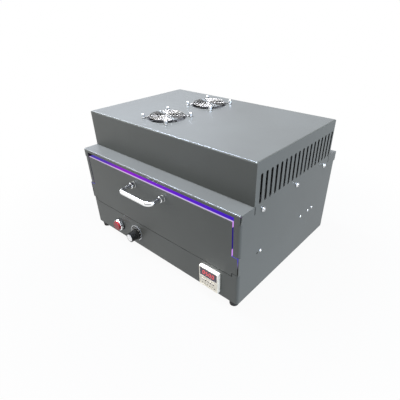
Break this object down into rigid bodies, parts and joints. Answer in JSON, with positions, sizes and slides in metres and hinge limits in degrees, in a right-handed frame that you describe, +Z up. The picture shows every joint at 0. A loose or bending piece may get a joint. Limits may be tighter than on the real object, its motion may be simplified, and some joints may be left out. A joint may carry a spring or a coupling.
{
  "type": "drawer curing oven",
  "caption": "Bench-top drawer oven that cures work under ultraviolet lamps, with a vented hood, ball-bearing drawer slides, fans, a digital timer, a dial and a push button.",
  "frame": {"origin": "on the table, under the middle of the whole object's bounding box", "axes": "+X to the right as seen by a user in front, +Y towards the rear, +Z up; the drawer opens along -Y"},
  "size_m": [0.4676, 0.402, 0.3037],
  "materials": {
    "painted_sheet": "satin powder coat",
    "plain_sheet": "zinc-coated sheet",
    "slide_steel": "zinc-plated, drawn",
    "chrome": "polished",
    "screws": "bright zinc",
    "rubber": "matte",
    "aluminium": "extruded",
    "black_plastic": "moulded",
    "knob_plastic": "satin",
    "cream_plastic": "moulded",
    "key_plastic": "moulded",
    "dark_window": "smoked, shiny",
    "black_dial": "printed plate",
    "control_steel": "turned",
    "red_plastic": "moulded",
    "board": "white solder mask on aluminium",
    "lamp": "clear lens over ultraviolet chips",
    "leads": "insulated wire"
  },
  "bodies": {
    "case": {"outer_cover": "painted_sheet", "front_ledge": "painted_sheet", "rear_ledge": "painted_sheet", "control_panel": "painted_sheet", "rear_panel": "painted_sheet", "base_tray": "plain_sheet", "feet": "rubber", "foot_screws": "screws", "lamp_screws": "screws", "slide_screws": "screws", "rear_screws": "screws", "chamber_liner": "plain_sheet", "lamp_plate": "plain_sheet", "heat_sink": "aluminium", "lamp_board": "board", "lamp_chips": "lamp", "fan_guard_front": "chrome", "fan_guard_rear": "chrome", "fan_frame_front": "black_plastic", "fan_frame_rear": "black_plastic", "fan_screws": "screws", "power_inlet": "black_plastic", "lamp_driver": "aluminium", "terminal_block": "cream_plastic", "wiring": "leads", "timer_case": "cream_plastic", "timer_window": "dark_window", "timer_clamp": "black_plastic", "dial_plate": "black_dial", "potentiometer": "control_steel", "button_bezel": "chrome", "button_body": "black_plastic", "slide_fixed_left": "slide_steel", "slide_fixed_right": "slide_steel"},
    "drawer": {"drawer_front": "painted_sheet", "drawer_tray": "plain_sheet", "drawer_screws": "screws", "tray_screws": "screws", "handle_bar": "chrome", "handle_collars": "chrome", "handle_screws": "screws", "slide_inner_left": "slide_steel", "slide_inner_right": "slide_steel"},
    "slide_middle_left": {"slide_middle_left": "slide_steel"},
    "slide_middle_right": {"slide_middle_right": "slide_steel"},
    "ball_rows_left": {"ball_rows_left": "slide_steel"},
    "ball_rows_right": {"ball_rows_right": "slide_steel"},
    "inner_balls_left": {"inner_balls_left": "slide_steel"},
    "inner_balls_right": {"inner_balls_right": "slide_steel"},
    "dial_knob": {"control_knob": "knob_plastic", "knob_cap": "aluminium", "dial_shaft": "control_steel"},
    "push_button": {"button_cap": "red_plastic"},
    "key_1": {"timer_key_1": "key_plastic"},
    "key_2": {"timer_key_2": "key_plastic"},
    "key_3": {"timer_key_3": "key_plastic"},
    "key_4": {"timer_key_4": "key_plastic"},
    "key_5": {"timer_key_5": "key_plastic"},
    "front_fan": {"fan_rotor_front": "black_plastic"},
    "rear_fan": {"fan_rotor_rear": "black_plastic"}
  },
  "joints": [
    {"name": "drawer_slide", "type": "slide", "parent": "case", "child": "drawer", "axis": [0, -1, 0], "range_m": [0, 0.28]},
    {"name": "slide_middle_left_travel", "type": "slide", "parent": "case", "child": "slide_middle_left", "axis": [0, -1, 0], "range_m": [0, 0.14]},
    {"name": "ball_rows_left_travel", "type": "slide", "parent": "case", "child": "ball_rows_left", "axis": [0, -1, 0], "range_m": [0, 0.07]},
    {"name": "inner_balls_left_travel", "type": "slide", "parent": "case", "child": "inner_balls_left", "axis": [0, -1, 0], "range_m": [0, 0.21]},
    {"name": "slide_middle_right_travel", "type": "slide", "parent": "case", "child": "slide_middle_right", "axis": [0, -1, 0], "range_m": [0, 0.14]},
    {"name": "ball_rows_right_travel", "type": "slide", "parent": "case", "child": "ball_rows_right", "axis": [0, -1, 0], "range_m": [0, 0.07]},
    {"name": "inner_balls_right_travel", "type": "slide", "parent": "case", "child": "inner_balls_right", "axis": [0, -1, 0], "range_m": [0, 0.21]},
    {"name": "dial_turn", "type": "hinge", "parent": "case", "child": "dial_knob", "pos_m": [-0.065, -0.169, 0.0435], "axis": [0, -1, 0], "range_deg": [0, 300]},
    {"name": "button_press", "type": "slide", "parent": "case", "child": "push_button", "axis": [0, 1, 0], "range_m": [0, 0.003], "stiffness_N_per_m": 900, "springref_m": -0.002},
    {"name": "key_1_press", "type": "slide", "parent": "case", "child": "key_1", "axis": [0, 1, 0], "range_m": [0, 0.0006], "stiffness_N_per_m": 900, "springref_m": -0.0005},
    {"name": "key_2_press", "type": "slide", "parent": "case", "child": "key_2", "axis": [0, 1, 0], "range_m": [0, 0.0006], "stiffness_N_per_m": 900, "springref_m": -0.0005},
    {"name": "key_3_press", "type": "slide", "parent": "case", "child": "key_3", "axis": [0, 1, 0], "range_m": [0, 0.0006], "stiffness_N_per_m": 900, "springref_m": -0.0005},
    {"name": "key_4_press", "type": "slide", "parent": "case", "child": "key_4", "axis": [0, 1, 0], "range_m": [0, 0.0006], "stiffness_N_per_m": 900, "springref_m": -0.0005},
    {"name": "key_5_press", "type": "slide", "parent": "case", "child": "key_5", "axis": [0, 1, 0], "range_m": [0, 0.0006], "stiffness_N_per_m": 900, "springref_m": -0.0005},
    {"name": "front_fan_spin", "type": "hinge", "parent": "case", "child": "front_fan", "pos_m": [-0.054, -0.0455, 0.277], "axis": [0, 0, 1], "continuous": true},
    {"name": "rear_fan_spin", "type": "hinge", "parent": "case", "child": "rear_fan", "pos_m": [-0.054, 0.0895, 0.277], "axis": [0, 0, 1], "continuous": true}
  ],
  "couplings": [
    {"joint": "slide_middle_left_travel", "follows": "drawer_slide", "ratio": 0.5},
    {"joint": "ball_rows_left_travel", "follows": "drawer_slide", "ratio": 0.25},
    {"joint": "inner_balls_left_travel", "follows": "drawer_slide", "ratio": 0.75},
    {"joint": "slide_middle_right_travel", "follows": "drawer_slide", "ratio": 0.5},
    {"joint": "ball_rows_right_travel", "follows": "drawer_slide", "ratio": 0.25},
    {"joint": "inner_balls_right_travel", "follows": "drawer_slide", "ratio": 0.75}
  ]
}
